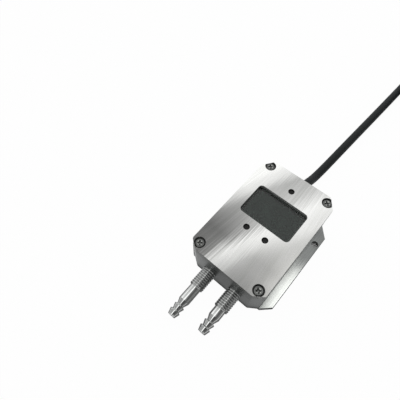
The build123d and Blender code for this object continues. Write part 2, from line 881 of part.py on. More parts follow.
def build():
    """Every node by name, each one solid or a group of separate solids."""
    nodes = {
        "housing": housing(),
        "cover": cover(),
        "cover_gasket": cover_gasket(),
        "cover_screws": cover_screws(),
        "display_window": display_window(),
        "window_seal": window_seal(),
        "lcd_glass": lcd_glass(),
        "lcd_contact_strips": lcd_contact_strips(),
        "lcd_backlight": lcd_backlight(),
        "lcd_bezel": lcd_bezel(),
        "display_board": display_board(),
        "board_standoffs": board_standoffs(),
        "display_board_screws": display_board_screws(),
        "switch_bases": switch_bases(),
        "long_hose_barb": hose_barb(-barb_x, long_shank),
        "short_hose_barb": hose_barb(barb_x, short_shank),
        "main_board": main_board(),
        "main_board_screws": main_board_screws(),
        "pressure_sensor": pressure_sensor(),
        "long_side_tube": inner_tube(-1),
        "short_side_tube": inner_tube(1),
        "stack_socket": stack_socket(),
        "stack_header": stack_header(),
        "controller_chip": controller_chip(),
        "regulator": regulator(),
        "capacitors": capacitors(),
        "cable_terminal": cable_terminal(),
        "terminal_screws": terminal_screws(),
        "cable_gland": cable_gland(),
        "cable_inner_end": cable_inner_end(),
        "strain_tie": strain_tie(),
        "inner_leads": inner_leads(),
        "cable": cable(),
        "cable_coil": cable_coil(),
        "coil_tie": coil_tie(),
        "cable_leads": cable_leads(),
    }
    for name, place in button_places.items():
        nodes[name + "_button_cap"] = button_cap(place)
        nodes[name + "_button_stem"] = button_stem(place)
    return nodes


os.makedirs("parts", exist_ok=True)
for name, shape in build().items():
    if isinstance(shape, list):
        shape = Compound(children=shape)
    export_step(shape, "parts/" + name + ".step")
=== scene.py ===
import math

import bmesh
import bpy
from bpy.props import FloatProperty, FloatVectorProperty, IntProperty, PointerProperty
from mathutils import Euler, Matrix, Vector


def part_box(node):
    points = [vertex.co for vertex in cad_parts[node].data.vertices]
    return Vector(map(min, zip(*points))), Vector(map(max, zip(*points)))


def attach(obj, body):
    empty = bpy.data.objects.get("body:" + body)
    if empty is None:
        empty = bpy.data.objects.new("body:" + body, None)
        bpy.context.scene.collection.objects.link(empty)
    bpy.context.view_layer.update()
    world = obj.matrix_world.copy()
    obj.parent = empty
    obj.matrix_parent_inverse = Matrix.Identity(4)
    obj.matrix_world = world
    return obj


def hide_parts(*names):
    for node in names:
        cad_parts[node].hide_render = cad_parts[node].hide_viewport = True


bl_info = {
    "name": "Differential pressure transmitter",
    "version": (1, 0, 0),
    "blender": (4, 5, 0),
    "location": "View3D > Sidebar > Transmitter",
    "description": "Dresses the transmitter's CAD model with detailed pieces and finishes",
    "category": "Object",
}

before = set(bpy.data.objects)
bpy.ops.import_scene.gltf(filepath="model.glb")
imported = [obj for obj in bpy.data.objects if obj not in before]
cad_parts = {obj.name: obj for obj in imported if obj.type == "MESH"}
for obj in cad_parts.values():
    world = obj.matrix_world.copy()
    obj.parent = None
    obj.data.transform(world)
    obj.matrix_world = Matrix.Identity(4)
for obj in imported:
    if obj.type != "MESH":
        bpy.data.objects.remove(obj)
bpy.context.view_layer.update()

MM = 0.001
COVER_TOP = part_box("cover")[1][2]
EAR_START = 22.55 * MM
BARB_HEIGHT = 8.4 * MM
BARB_OFFSET = 8.3 * MM
ENTRY_HEIGHT = 0.0072
LYING_HEIGHT = 2.65 * MM
BUTTONS = ("rear", "left", "right")


# Sizes and colours

class TransmitterHousing(bpy.types.PropertyGroup):
    """Housing and cover."""

    housing_colour: FloatVectorProperty(
        name="Housing metal", description="Tone of the milled housing", subtype="COLOR",
        size=3, min=0.0, max=1.0, default=(0.245, 0.255, 0.25))
    cover_colour: FloatVectorProperty(
        name="Cover metal", description="Tone of the brushed cover where it is brightest", subtype="COLOR",
        size=3, min=0.0, max=1.0, default=(0.99, 1.0, 0.965))
    # Painted shade: the cover's sides and the walls of its window and counterbores take this tone, darker than the
    # brushed top.
    shaded_side_colour: FloatVectorProperty(
        name="Cover's sides", description="Tone of the cover's milled sides", subtype="COLOR",
        size=3, min=0.0, max=1.0, default=(0.25, 0.26, 0.25))
    edge_round: FloatProperty(
        name="Edge rounding", description="Width of the broken edges on the milled parts", subtype="DISTANCE",
        unit="LENGTH", min=0.0, max=0.001, default=0.0002)
    hairline_width: FloatProperty(
        name="Hairline width", description="Width of one brush mark across the grain", subtype="DISTANCE",
        unit="LENGTH", min=0.00002, max=0.001, default=0.0002)


class TransmitterWindow(bpy.types.PropertyGroup):
    """Display window and buttons."""

    lens_colour: FloatVectorProperty(
        name="Lens tint", description="Tint of the smoked lens", subtype="COLOR",
        size=3, min=0.0, max=1.0, default=(0.185, 0.23, 0.205))
    glass_colour: FloatVectorProperty(
        name="Display tone", description="Tone of the switched-off display", subtype="COLOR",
        size=3, min=0.0, max=1.0, default=(0.30, 0.34, 0.31))
    cap_colour: FloatVectorProperty(
        name="Button rubber", description="Tone of the button caps", subtype="COLOR",
        size=3, min=0.0, max=1.0, default=(0.012, 0.012, 0.0115))


class TransmitterBarbs(bpy.types.PropertyGroup):
    """Hose barbs."""

    nickel_colour: FloatVectorProperty(
        name="Nickel plate", description="Tone of the plated barbs", subtype="COLOR",
        size=3, min=0.0, max=1.0, default=(0.61, 0.62, 0.61))
    thread_pitch: FloatProperty(
        name="Thread pitch", description="Distance from one ridge of the thread to the next", subtype="DISTANCE",
        unit="LENGTH", min=0.0005, max=0.002, default=0.00125)
    thread_depth: FloatProperty(
        name="Thread depth", description="Height of the thread's ridges", subtype="DISTANCE",
        unit="LENGTH", min=0.0001, max=0.001, default=0.00034)


class TransmitterCable(bpy.types.PropertyGroup):
    """Cable."""

    jacket_colour: FloatVectorProperty(
        name="Cable jacket", description="Tone of the cable's jacket", subtype="COLOR",
        size=3, min=0.0, max=1.0, default=(0.0068, 0.0093, 0.0102))
    diameter: FloatProperty(
        name="Cable diameter", description="Outer diameter of the jacket", subtype="DISTANCE",
        unit="LENGTH", min=0.002, max=0.01, default=0.0053)
    coil_turns: IntProperty(
        name="Turns put away", description="Turns of cable in the tied coil", min=1, max=5, default=5)


class TransmitterStage(bpy.types.PropertyGroup):
    """Floor, lamps and camera."""

    floor_colour: FloatVectorProperty(
        name="Floor", description="Tone of the table under the part", subtype="COLOR",
        size=3, min=0.0, max=1.0, default=(0.90, 0.90, 0.90))
    lamp_level: FloatProperty(
        name="Lamp level", description="Brightness of the soft lamps, where 1 is plain white", min=0.0, max=5.0,
        default=1.0)
    camera_place: FloatVectorProperty(
        name="Camera place", description="Where the photograph was taken from", subtype="TRANSLATION",
        unit="LENGTH", size=3, default=(0.024889, -0.071275, 0.178825))
    camera_turn: FloatVectorProperty(
        name="Camera turn", description="The camera's rotation", subtype="EULER", unit="ROTATION", size=3,
        default=(math.radians(28.7428), math.radians(1.7732), math.radians(41.4794)))
    camera_lens: FloatProperty(
        name="Focal length", description="Focal length in millimetres on a sensor 36 mm wide", min=10.0,
        max=200.0, default=29.333)


# Node building

def feed(node, inputs):
    """Sets or links a node's inputs."""
    for key, value in inputs.items():
        if isinstance(value, bpy.types.NodeSocket):
            node.id_data.links.new(value, node.inputs[key])
        else:
            node.inputs[key].default_value = value


def add_node(tree, kind, inputs=None, **settings):
    """A shader node with its settings, and its inputs set or linked."""
    made = tree.nodes.new("ShaderNode" + kind)
    for key, value in settings.items():
        setattr(made, key, value)
    feed(made, inputs or {})
    return made


def tree_of(*values):
    """The node tree of the sockets among some values."""
    return next(value for value in values if isinstance(value, bpy.types.NodeSocket)).id_data


def empty_tree(owner):
    """The node tree of a new material or world, ready to be filled."""
    owner.use_nodes = True
    owner.node_tree.nodes.clear()
    return owner.node_tree


def new_finish(name, colour, roughness, metallic=0.0, sockets=None):
    """A material with one Principled shader, its constants set on the shader's own sockets."""
    finish = bpy.data.materials.new(name)
    tree = empty_tree(finish)
    shader = add_node(tree, "BsdfPrincipled", {
        "Base Color": (*colour, 1.0), "Roughness": roughness, "Metallic": metallic, **(sockets or {})})
    add_node(tree, "OutputMaterial", {"Surface": shader.outputs["BSDF"]})
    return finish, tree, shader


def coordinates(tree, kind="Object"):
    """The place of a point as one vector."""
    return add_node(tree, "TexCoord").outputs[kind]


def axes_of(tree, kind="Object"):
    """The place of a point as its X, Y and Z."""
    return tuple(add_node(tree, "SeparateXYZ", {"Vector": coordinates(tree, kind)}).outputs)


def noise(place, sizes, detail, roughness):
    """Noise whose marks have the given sizes in metres along X, Y and Z."""
    tree = tree_of(place)
    stretch = add_node(tree, "Mapping", {"Vector": place, "Scale": tuple(1.0 / s for s in sizes)})
    return add_node(tree, "TexNoise", {
        "Vector": stretch.outputs["Vector"], "Scale": 1.0, "Detail": detail, "Roughness": roughness}).outputs["Fac"]


def grain(tree, size, detail=3.0, roughness=0.6):
    """Noise on Object coordinates, with one size for its marks or one per axis."""
    return noise(coordinates(tree), size if isinstance(size, tuple) else (size,) * 3, detail, roughness)


def maths(operation, *values):
    """A Math node on sockets and numbers."""
    return add_node(tree_of(*values), "Math", dict(enumerate(values)), operation=operation).outputs[0]


def spread(value, low, high, start=0.3, end=0.7):
    """A value moved from one range to another, and kept inside it."""
    return add_node(tree_of(value), "MapRange", {
        "Value": value, "From Min": start, "From Max": end, "To Min": low, "To Max": high}, clamp=True).outputs[0]


def blended(first, second, share):
    """A weighted mean of two values."""
    return add_node(tree_of(first, second, share), "Mix", {0: share, 2: first, 3: second},
                    data_type="FLOAT").outputs[0]


def mixed(share, first, second, blend="MIX"):
    """A mix of two colours by the share of the second."""
    return add_node(tree_of(share, first, second), "Mix", {"Factor": share, "A": first, "B": second},
                    data_type="RGBA", blend_type=blend).outputs["Result"]


def colour_ramp(value, stops):
    """A colour from a value between 0 and 1, by (position, colour) stops."""
    ramp = add_node(tree_of(value), "ValToRGB", {"Fac": value})
    marks = ramp.color_ramp.elements
    while len(marks) < len(stops):
        marks.new(0.5)
    for mark, (position, colour) in zip(marks, stops):
        mark.position = position
        mark.color = (*colour, 1.0)
    return ramp.outputs["Color"]


def two_tones(value, dark, light):
    """A colour between two tones."""
    return colour_ramp(value, ((0.0, dark), (1.0, light)))


def tone_ramp(value, stops):
    """Grey tones along a distance in metres, from (millimetre, tone) stops."""
    low, high = stops[0][0] * MM, stops[-1][0] * MM
    return colour_ramp(spread(value, 0.0, 1.0, low, high), [
        ((position * MM - low) / (high - low), (tone, tone, tone * 1.005)) for position, tone in stops])


def scaled(colour, factor):
    return tuple(min(1.0, c * factor) for c in colour)


def grey(tone):
    return (tone, tone, tone, 1.0)


def mottled(value, colour, dark, light, start=0.3, end=0.7):
    """A colour that a noise makes darker and lighter."""
    return two_tones(spread(value, 0.0, 1.0, start, end), scaled(colour, dark), scaled(colour, light))


def relief(value, strength, depth):
    """The normal of a surface with fine relief."""
    return add_node(tree_of(value), "Bump", {
        "Height": value, "Strength": strength, "Distance": depth}).outputs["Normal"]


def far_from(place, middle):
    """The distance between a place and a middle, both seen from above."""
    steps = [maths("SUBTRACT", axis, centre) for axis, centre in zip(place, middle)]
    flat = add_node(tree_of(*steps), "CombineXYZ", dict(enumerate(steps)))
    return add_node(flat.id_data, "VectorMath", {0: flat.outputs[0]}, operation="LENGTH").outputs["Value"]


# Finishes

def plain_finish(name, colour, roughness, speck=0.0006, change=0.12, bump=0.05, metallic=0.0, sockets=None):
    """Moulded, lacquered or rubbery surface with a fine speckle in tone, gloss and relief."""
    finish, tree, shader = new_finish(name, colour, roughness, metallic, sockets)
    fine = grain(tree, speck, 4.0, 0.65)
    broad = grain(tree, speck * 14, 2.0, 0.5)
    feed(shader, {
        "Base Color": mottled(blended(fine, broad, 0.5), colour, 1.0 - change, 1.0 + change),
        "Roughness": spread(fine, max(0.02, roughness - 0.08), min(1.0, roughness + 0.08)),
        "Normal": relief(fine, bump, 0.00005)})
    return finish


STROKE_FAN = 6.5
STROKE_LEAN = -0.02


def brush_marks(tree, width, length, detail):
    """Noise drawn out along brush strokes that fan out a little from the cover's left to its right."""
    x, y, z = axes_of(tree)
    fanned = maths("MULTIPLY", x, maths("MULTIPLY_ADD", y, STROKE_FAN, 1.0))
    leaning = maths("MULTIPLY_ADD", y, STROKE_LEAN, fanned)
    place = add_node(tree, "CombineXYZ", {"X": leaning, "Y": y, "Z": z})
    return noise(place.outputs["Vector"], (width, length, width), detail, 0.55)


def near_buttons(x, y):
    """1 close round each button, where the holes' walls are painted near-black as shade."""
    nearest = None
    for name in BUTTONS:
        reach = far_from((x, y), middle_of(name + "_button_cap"))
        nearest = maths("MINIMUM", reach, nearest) if nearest else reach
    return spread(nearest, 1.0, 0.0, 0.0029, 0.0031)


# Painted reflection: tones of slanting light and dark bands across the cover's top, near the front and near the rear,
# by millimetres across the bands.
BAND_ACROSS = (0.92, -0.39)
REFLECTION_BANDS_FRONT = ((-30, 0.55), (-22, 0.40), (-18, 0.20), (-12, 0.15), (-6, 0.175), (-3.2, 0.20), (-0.5, 0.28),
               (2.3, 0.58), (5.0, 0.78), (7.8, 0.69), (10.6, 0.57), (13.3, 0.41), (16.0, 0.34), (19.0, 0.30),
               (24.0, 0.27), (28.0, 0.29))
REFLECTION_BANDS_REAR = ((-30, 1.0), (-25.5, 1.0), (-22.5, 0.86), (-19.5, 0.80), (-17.5, 0.66), (-14.9, 0.48), (-9.0, 0.52),
              (-6.6, 0.56), (-3.8, 0.60), (-1.1, 0.70), (1.7, 0.80), (4.4, 0.90), (7.2, 0.86), (10.0, 0.80),
              (14.0, 0.74), (18.0, 0.58), (24.0, 0.52))
BAND_WAVER = 0.009


def brushed_cover_finish(settings):
    """Brushed aluminium: fanned hairlines, and slanting bands of painted reflection, lighter and darker across the
    top.
    """
    finish, tree, shader = new_finish("brushed_aluminium", settings.cover_colour, 0.22, 1.0, {"Anisotropic": 0.1})
    streak = brush_marks(tree, 0.0007, 0.040, 2.5)
    marks = blended(brush_marks(tree, settings.hairline_width, 0.030, 3.0), streak, 0.5)
    x, y, z = axes_of(tree)
    across = maths("MULTIPLY_ADD", x, BAND_ACROSS[0], maths("MULTIPLY", y, BAND_ACROSS[1]))
    middle = maths("SUBTRACT", maths("MULTIPLY_ADD", streak, BAND_WAVER, across), BAND_WAVER / 2)
    level = maths("SUBTRACT", middle, spread(y, 0.0009, 0.0, -0.033, -0.024))
    # Painted reflection: the band tones, blended from the front table to the rear one.
    bands = mixed(spread(y, 0.0, 1.0, -0.019, 0.011), tone_ramp(level, REFLECTION_BANDS_FRONT), tone_ramp(level, REFLECTION_BANDS_REAR))
    # Painted reflection, made darker towards the front edge.
    reflection_darker_in_front = mixed(spread(y, 1.0, 0.0, -0.033, -0.025), bands, grey(0.84), "MULTIPLY")
    hairs = mottled(marks, settings.cover_colour, 0.84, 1.02, 0.36, 0.64)
    # Painted shade: below the top, the sides take the darker side tone.
    sides = spread(z, 1.0, 0.0, COVER_TOP - 0.0004, COVER_TOP - 0.0002)
    # Painted shade: the button holes' walls nearly black.
    bores = mixed(near_buttons(x, y), (*settings.shaded_side_colour, 1.0), grey(0.03))
    outer = maths("MAXIMUM", maths("ABSOLUTE", x), maths("MULTIPLY", maths("ABSOLUTE", y), 0.662))
    cut_out = maths("MULTIPLY", sides, spread(outer, 1.0, 0.0, 0.0211, 0.0213))
    tangent = add_node(tree, "Tangent", direction_type="UV_MAP", uv_map="grain")
    feed(shader, {
        "Base Color": mixed(sides, mixed(1.0, reflection_darker_in_front, hairs, "MULTIPLY"), bores),
        "Roughness": blended(spread(marks, 0.17, 0.28), 0.4, sides),
        "Metallic": spread(cut_out, 1.0, 0.3, 0.0, 1.0),
        "Normal": relief(marks, 0.12, 0.00002),
        "Tangent": tangent.outputs["Tangent"]})
    return finish


def milled_housing_finish(settings):
    """Milled aluminium: fine level tool marks round the walls, and ears faced smooth along their length, painted a
    darker tone than the walls as shade.
    """
    colour = settings.housing_colour
    finish, tree, shader = new_finish("machined_aluminium", colour, 0.34, 1.0)
    marks = grain(tree, (0.02, 0.02, 0.00018))
    cloud = grain(tree, (0.012, 0.012, 0.007), 2.0, 0.5)
    strokes = grain(tree, (0.0006, 0.025, 0.0006))
    tone = blended(blended(marks, cloud, 0.5), strokes, 0.35)
    ears = spread(maths("ABSOLUTE", axes_of(tree)[0]), 0.0, 1.0, EAR_START, EAR_START + 0.00015)
    # Painted shade: the ears take a darker tone of the metal than the walls; their lower roughness is the smooth
    # facing.
    feed(shader, {
        "Base Color": mixed(ears, mottled(tone, colour, 0.80, 1.20, 0.36, 0.64),
                            mottled(tone, colour, 0.62, 0.94, 0.36, 0.64)),
        "Roughness": blended(spread(blended(marks, grain(tree, 0.0003), 0.5), 0.28, 0.42),
                             spread(strokes, 0.10, 0.16), ears),
        "Normal": relief(marks, 0.2, 0.00003)})
    return finish


def turned_metal_finish(name, colour, roughness):
    """Turned and plated metal: fine rings round the axis along Y, and the threaded end darkened as painted shade."""
    finish, tree, shader = new_finish(name, colour, roughness, 1.0)
    rings = grain(tree, (0.03, 0.00012, 0.03))
    tone = mottled(blended(rings, grain(tree, 0.003, 2.0, 0.5), 0.5), colour, 0.86, 1.08)
    # Painted shade: the threaded end, and the stub in the wall, are darkened to 60 percent.
    thread = spread(axes_of(tree)[1], 0.0, 1.0, THREAD_END - 0.0001, THREAD_END + 0.0003)
    feed(shader, {
        "Base Color": mixed(thread, tone, grey(0.60), "MULTIPLY"),
        "Roughness": spread(rings, roughness * 0.7, roughness * 1.4),
        "Normal": relief(rings, 0.12, 0.00002)})
    return finish


def board_finish():
    """Lacquered circuit board with faint copper tracks under the green."""
    finish, tree, shader = new_finish("circuit_board", (0.03, 0.17, 0.07), 0.35, 0.0, {"Coat Weight": 0.3})
    mapping = add_node(tree, "Mapping", {"Vector": coordinates(tree), "Scale": (420.0, 260.0, 1.0)})
    bricks = add_node(tree, "TexBrick", {
        "Vector": mapping.outputs["Vector"], "Scale": 1.0, "Mortar Size": 0.06, "Mortar Smooth": 0.1,
        "Color1": (0.018, 0.125, 0.05, 1.0), "Color2": (0.022, 0.15, 0.06, 1.0),
        "Mortar": (0.05, 0.25, 0.10, 1.0)}, offset=0.37)
    feed(shader, {
        "Base Color": bricks.outputs["Color"],
        "Roughness": spread(grain(tree, 0.0004), 0.28, 0.42),
        "Normal": relief(bricks.outputs["Fac"], 0.2, 0.00004)})
    return finish


def lens_finish(settings):
    """Smoked lens: clear to look through, dark in the mass, with a dark line printed round its border."""
    finish, tree, shader = new_finish("smoked_lens", settings.lens_colour, 0.05, 0.0, {
        "Transmission Weight": 1.0, "IOR": 1.49})
    low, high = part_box("display_window")
    edges = []
    for axis, first, last in zip(axes_of(tree)[:2], low, high):
        away = maths("ABSOLUTE", maths("SUBTRACT", axis, (first + last) / 2))
        reach = (last - first) / 2
        edges.append(spread(away, 0.0, 1.0, reach - 0.00250, reach - 0.00240))
    border = maths("MAXIMUM", *edges)
    tint = mottled(grain(tree, 0.006, 2.0, 0.5), settings.lens_colour, 0.94, 1.06)
    feed(shader, {
        "Base Color": mixed(border, tint, (0.050, 0.056, 0.052, 1.0)),
        "Transmission Weight": spread(border, 1.0, 0.0, 0.0, 1.0),
        "Roughness": spread(grain(tree, 0.0006), 0.03, 0.08)})
    return finish


def display_finish(settings):
    """Switched-off display: an even grey-green field."""
    colour = settings.glass_colour
    finish, tree, shader = new_finish("lcd", colour, 0.18, 0.0, {"Coat Weight": 0.5})
    fine = grain(tree, 0.0002, 2.0, 0.5)
    feed(shader, {
        "Base Color": mottled(blended(fine, grain(tree, 0.008, 2.0, 0.5), 0.5), colour, 0.9, 1.1),
        "Roughness": spread(fine, 0.12, 0.26)})
    return finish


def jacket_finish(settings):
    """Cable jacket: matt PVC with a faint grain."""
    colour = settings.jacket_colour
    finish, tree, shader = new_finish("cable_jacket", colour, 0.62, 0.0, {"Specular IOR Level": 0.25})
    fine = grain(tree, 0.00025, 4.0, 0.7)
    feed(shader, {
        "Base Color": mottled(blended(fine, grain(tree, 0.004, 2.0, 0.5), 0.5), colour, 0.8, 1.25),
        "Roughness": spread(fine, 0.52, 0.72),
        "Normal": relief(fine, 0.25, 0.00004)})
    return finish


def weave_finish(name, colour):
    """Woven band: two crossing sets of threads."""
    finish, tree, shader = new_finish(name, colour, 0.85, 0.0, {"Sheen Weight": 0.4})
    waves = [add_node(tree, "TexWave", {
        "Vector": coordinates(tree), "Scale": 700.0, "Distortion": 1.5, "Detail": 2.0}, bands_direction=direction)
             for direction in ("X", "Z")]
    cross = blended(waves[0].outputs["Fac"], waves[1].outputs["Fac"], 0.5)
    feed(shader, {
        "Base Color": mottled(cross, colour, 0.6, 1.7, 0.0, 1.0),
        "Normal": relief(cross, 0.6, 0.0001)})
    return finish


# Mesh building

def middle_of(node):
    """The middle of a CAD node's box, seen from above."""
    low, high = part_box(node)
    return (low[0] + high[0]) / 2, (low[1] + high[1]) / 2


def add_object(name, data):
    """A new object in the scene."""
    made = bpy.data.objects.new(name, data)
    bpy.context.scene.collection.objects.link(made)
    return made


def finished_object(name, bm, material, body, replaced, smooth_angle=35.0):
    """Puts a finished bmesh in the scene as a piece of the part."""
    mesh = mesh_from(name, bm)
    mesh.materials.append(material)
    mesh.polygons.foreach_set("material_index", [0] * len(mesh.polygons))
    mesh.polygons.foreach_set("use_smooth", [True] * len(mesh.polygons))
    mesh.set_sharp_from_angle(angle=math.radians(smooth_angle))
    made = add_object(name, mesh)
    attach(made, body)
    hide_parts(*replaced)
    return made


def weighted(piece):
    """Keeps flat faces flat beside their rounded edges."""
    modifier = piece.modifiers.new("Face weights", "WEIGHTED_NORMAL")
    modifier.keep_sharp = True
    modifier.weight = 80


def mesh_from(name, bm):
    """A mesh from a finished bmesh, its faces turned outwards."""
    bmesh.ops.recalc_face_normals(bm, faces=bm.faces)
    mesh = bpy.data.meshes.new(name)
    bm.to_mesh(mesh)
    bm.free()
    return mesh


def merged_copy(node):
    """A CAD node's shape with its loose triangles joined into clean faces."""
    bm = bmesh.new()
    bm.from_mesh(bpy.data.objects[node].data)
    bmesh.ops.remove_doubles(bm, verts=bm.verts, dist=1e-6)
    bmesh.ops.dissolve_limit(bm, angle_limit=math.radians(0.6), use_dissolve_boundaries=False,
                             verts=bm.verts, edges=bm.edges, delimit={"NORMAL"})
    return bm


def round_edges(bm, width, segments=2, angle=40.0):
    """Rounds every edge that is sharper than the angle."""
    sharp = [e for e in bm.edges if len(e.link_faces) == 2 and e.calc_face_angle(0.0) > math.radians(angle)]
    bmesh.ops.bevel(bm, geom=sharp, offset=width, offset_type="OFFSET", segments=segments, profile=0.5,
                    affect="EDGES", clamp_overlap=True, material=-1)


def turned(profile, centre, axis, steps, closed=True):
    """A body turned about an axis from a chain of points, which may be closed."""
    bm = bmesh.new()
    corners = [bm.verts.new(p) for p in profile]
    pairs = list(zip(corners, corners[1:]))
    if closed:
        pairs.append((corners[-1], corners[0]))
    edges = [bm.edges.new(pair) for pair in pairs]
    bmesh.ops.spin(bm, geom=corners + edges, cent=centre, axis=axis, dvec=(0, 0, 0), angle=math.tau,
                   steps=steps, use_merge=True, use_duplicate=False)
    bmesh.ops.remove_doubles(bm, verts=bm.verts, dist=1e-6)
    return bm


def blended_profile(points, radius, segments=2):
    """A profile of (radius, place along the axis) points, its corners rounded by short arcs."""
    rounded = []
    count = len(points)
    for i, point in enumerate(points):
        corner = Vector((*point, 0.0))
        before = Vector((*points[i - 1], 0.0)) - corner
        after = Vector((*points[(i + 1) % count], 0.0)) - corner
        reach = min(radius, 0.45 * before.length, 0.45 * after.length)
        if before.angle(after) > math.radians(170) or reach < 1e-6:
            rounded.append(tuple(corner))
            continue
        start = corner + before.normalized() * reach
        end = corner + after.normalized() * reach
        for step in range(segments + 1):
            t = step / segments
            rounded.append(tuple(start * (1 - t) ** 2 + corner * 2 * t * (1 - t) + end * t ** 2))
    return rounded


def turned_along_y(profile, x, z, steps):
    """A body turned about a line along Y, from (radius, y) points."""
    return turned([(x + point[0], point[1], z) for point in profile], (x, 0, z), (0, 1, 0), steps)


def dress(material, *nodes):
    """Gives CAD nodes that stay a better material."""
    for node in nodes:
        piece = bpy.data.objects[node]
        if not piece.material_slots:
            piece.data.materials.append(material)
        for place in piece.material_slots:
            place.material = material


# Pieces

class TRANSMITTER_OT_cable(bpy.types.Operator):
    """Lays the cable on the table, with its unseen length in a tied coil, and adds its grommet"""

    bl_idname = "transmitter.cable"
    bl_label = "Cable"

    def execute(self, context):
        settings = context.scene.transmitter_cable
        jacket = jacket_finish(settings)
        route = [
            (0.0, 0.0400, ENTRY_HEIGHT), (0.0, 0.0435, ENTRY_HEIGHT), (0.0005, 0.0485, 0.0059),
            (0.00095, 0.0530, 0.0040), (0.0013, 0.0580, LYING_HEIGHT), (0.0022, 0.0700, LYING_HEIGHT),
            (0.0037, 0.0980, LYING_HEIGHT), (0.0061, 0.1386, LYING_HEIGHT), (0.0082, 0.1792, LYING_HEIGHT),
        ]
        points = route + coil_points(settings)
        cable = round_line("cable_line", points, settings.diameter / 2, jacket)
        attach(cable, "root")
        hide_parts("cable", "cable_coil")
        leads = bare_leads(settings)
        bm = merged_copy("coil_tie")
        round_edges(bm, 0.00012, 1)
        band = finished_object("coil_band", bm, weave_finish("tie_weave", (0.03, 0.03, 0.03)), "root",
                               ["coil_tie"])
        grommet()
        dress(jacket, "cable_inner_end")
        return {"FINISHED"}


COIL_CENTRE = (0.03795, 0.183)
COIL_RADIUS = 0.0267
COIL_STEPS = 16
EASE_STEPS = 4
COIL_START = math.radians(183.0)
TIE_WALL = 0.0006


def coil_turns(settings):
    """Radius and height of each turn: two on the table, two on them, and one in the groove on top."""
    radius = settings.diameter / 2
    low = TIE_WALL + radius
    high = low + settings.diameter
    top = high + settings.diameter * math.sin(math.radians(60.0))
    turns = [(COIL_RADIUS + radius, low), (COIL_RADIUS - radius, low), (COIL_RADIUS - radius, high),
             (COIL_RADIUS + radius, high), (COIL_RADIUS, top)]
    return turns[:settings.coil_turns]


def coil_place(turns, step):
    """Radius and height of the cable after so many steps, easing from one turn to the next."""
    turn, part = int(step // COIL_STEPS), step % COIL_STEPS
    if turn >= len(turns):
        return turns[-1]
    if turn == 0 or part >= EASE_STEPS:
        return turns[turn]
    ease = part / EASE_STEPS
    smooth = ease * ease * (3 - 2 * ease)
    return tuple(a * (1 - smooth) + b * smooth for a, b in zip(turns[turn - 1], turns[turn]))


def on_coil(radius, angle, height):
    return (COIL_CENTRE[0] + radius * math.cos(angle), COIL_CENTRE[1] + radius * math.sin(angle), height)


def coil_points(settings):
    """Control points of the put-away turns, set out a little so that the smooth line has the right radius."""
    turns = coil_turns(settings)
    hold = 1.0 / (0.5 + 0.5 * math.cos(math.pi / COIL_STEPS))
    points = []
    for step in range(1, len(turns) * COIL_STEPS + 1):
        radius, height = coil_place(turns, step)
        points.append(on_coil(radius * hold, COIL_START - step * math.tau / COIL_STEPS, height))
    return points


def round_line(name, points, radius, material):
    """A round cord along the smooth curve of its control points."""
    data = bpy.data.curves.new(name, "CURVE")
    data.dimensions = "3D"
    data.resolution_u = 8
    data.bevel_depth = radius
    data.bevel_resolution = 8
    data.use_fill_caps = True
    spline = data.splines.new("NURBS")
    spline.points.add(len(points) - 1)
    for place, point in zip(spline.points, points):
        place.co = (*point, 1.0)
    spline.order_u = 3
    spline.use_endpoint_u = True
    spline.use_smooth = True
    data.materials.append(material)
    return add_object(name, data)


LEAD_TONES = (("red", (0.42, 0.03, 0.025)), ("black", (0.02, 0.02, 0.022)), ("blue", (0.04, 0.10, 0.38)))
LEAD_RADIUS = 0.65 * MM
LEAD_SPACING = 1.4 * MM
LEAD_CLEARANCE = 3.3 * MM
LEAD_STEPS = 9
LEAD_STRIDE = 0.42


def bare_leads(settings):
    """Three insulated conductors that come out of the cable's end and lie on the turn below."""
    turns = coil_turns(settings)
    top_radius, top = turns[-1]
    made = []
    for index, (tone_name, tone) in enumerate(LEAD_TONES):
        side = (index - 1) * LEAD_SPACING
        line = [on_coil(top_radius + side * 0.75, COIL_START + 0.05, top)]
        for step in range(1, LEAD_STEPS + 1):
            angle = step * LEAD_STRIDE
            below = coil_place(turns, (len(turns) - 1) * COIL_STEPS + angle)
            height = max(top - 0.0002 * step, below[1] + LEAD_CLEARANCE) - abs(index - 1) * 0.0003
            line.append(on_coil(top_radius + side, COIL_START - angle * math.tau / COIL_STEPS, height))
        lead = round_line("cable_lead_" + tone_name, line, LEAD_RADIUS,
                          plain_finish("insulation_" + tone_name, tone, 0.42, 0.0005))
        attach(lead, "root")
        if index == 0:
            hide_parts("cable_leads")
        made.append(lead)
    return made


GROMMET_BORE = 2.7 * MM
GROMMET_FLANGE = 4.65 * MM
GROMMET_NECK = 4.0 * MM
GROMMET_COLLAR = 1.4 * MM
WALL_INSIDE, WALL_OUTSIDE = 30.0 * MM, 34.0 * MM
NOSE_RINGS = 4
NOSE_RADIUS, NOSE_TAPER = 3.9 * MM, 0.6 * MM
RING_SHAPE = ((0.45 * MM, 0.12), (0.45 * MM, 0.38), (0.0, 0.5), (0.0, 0.98))


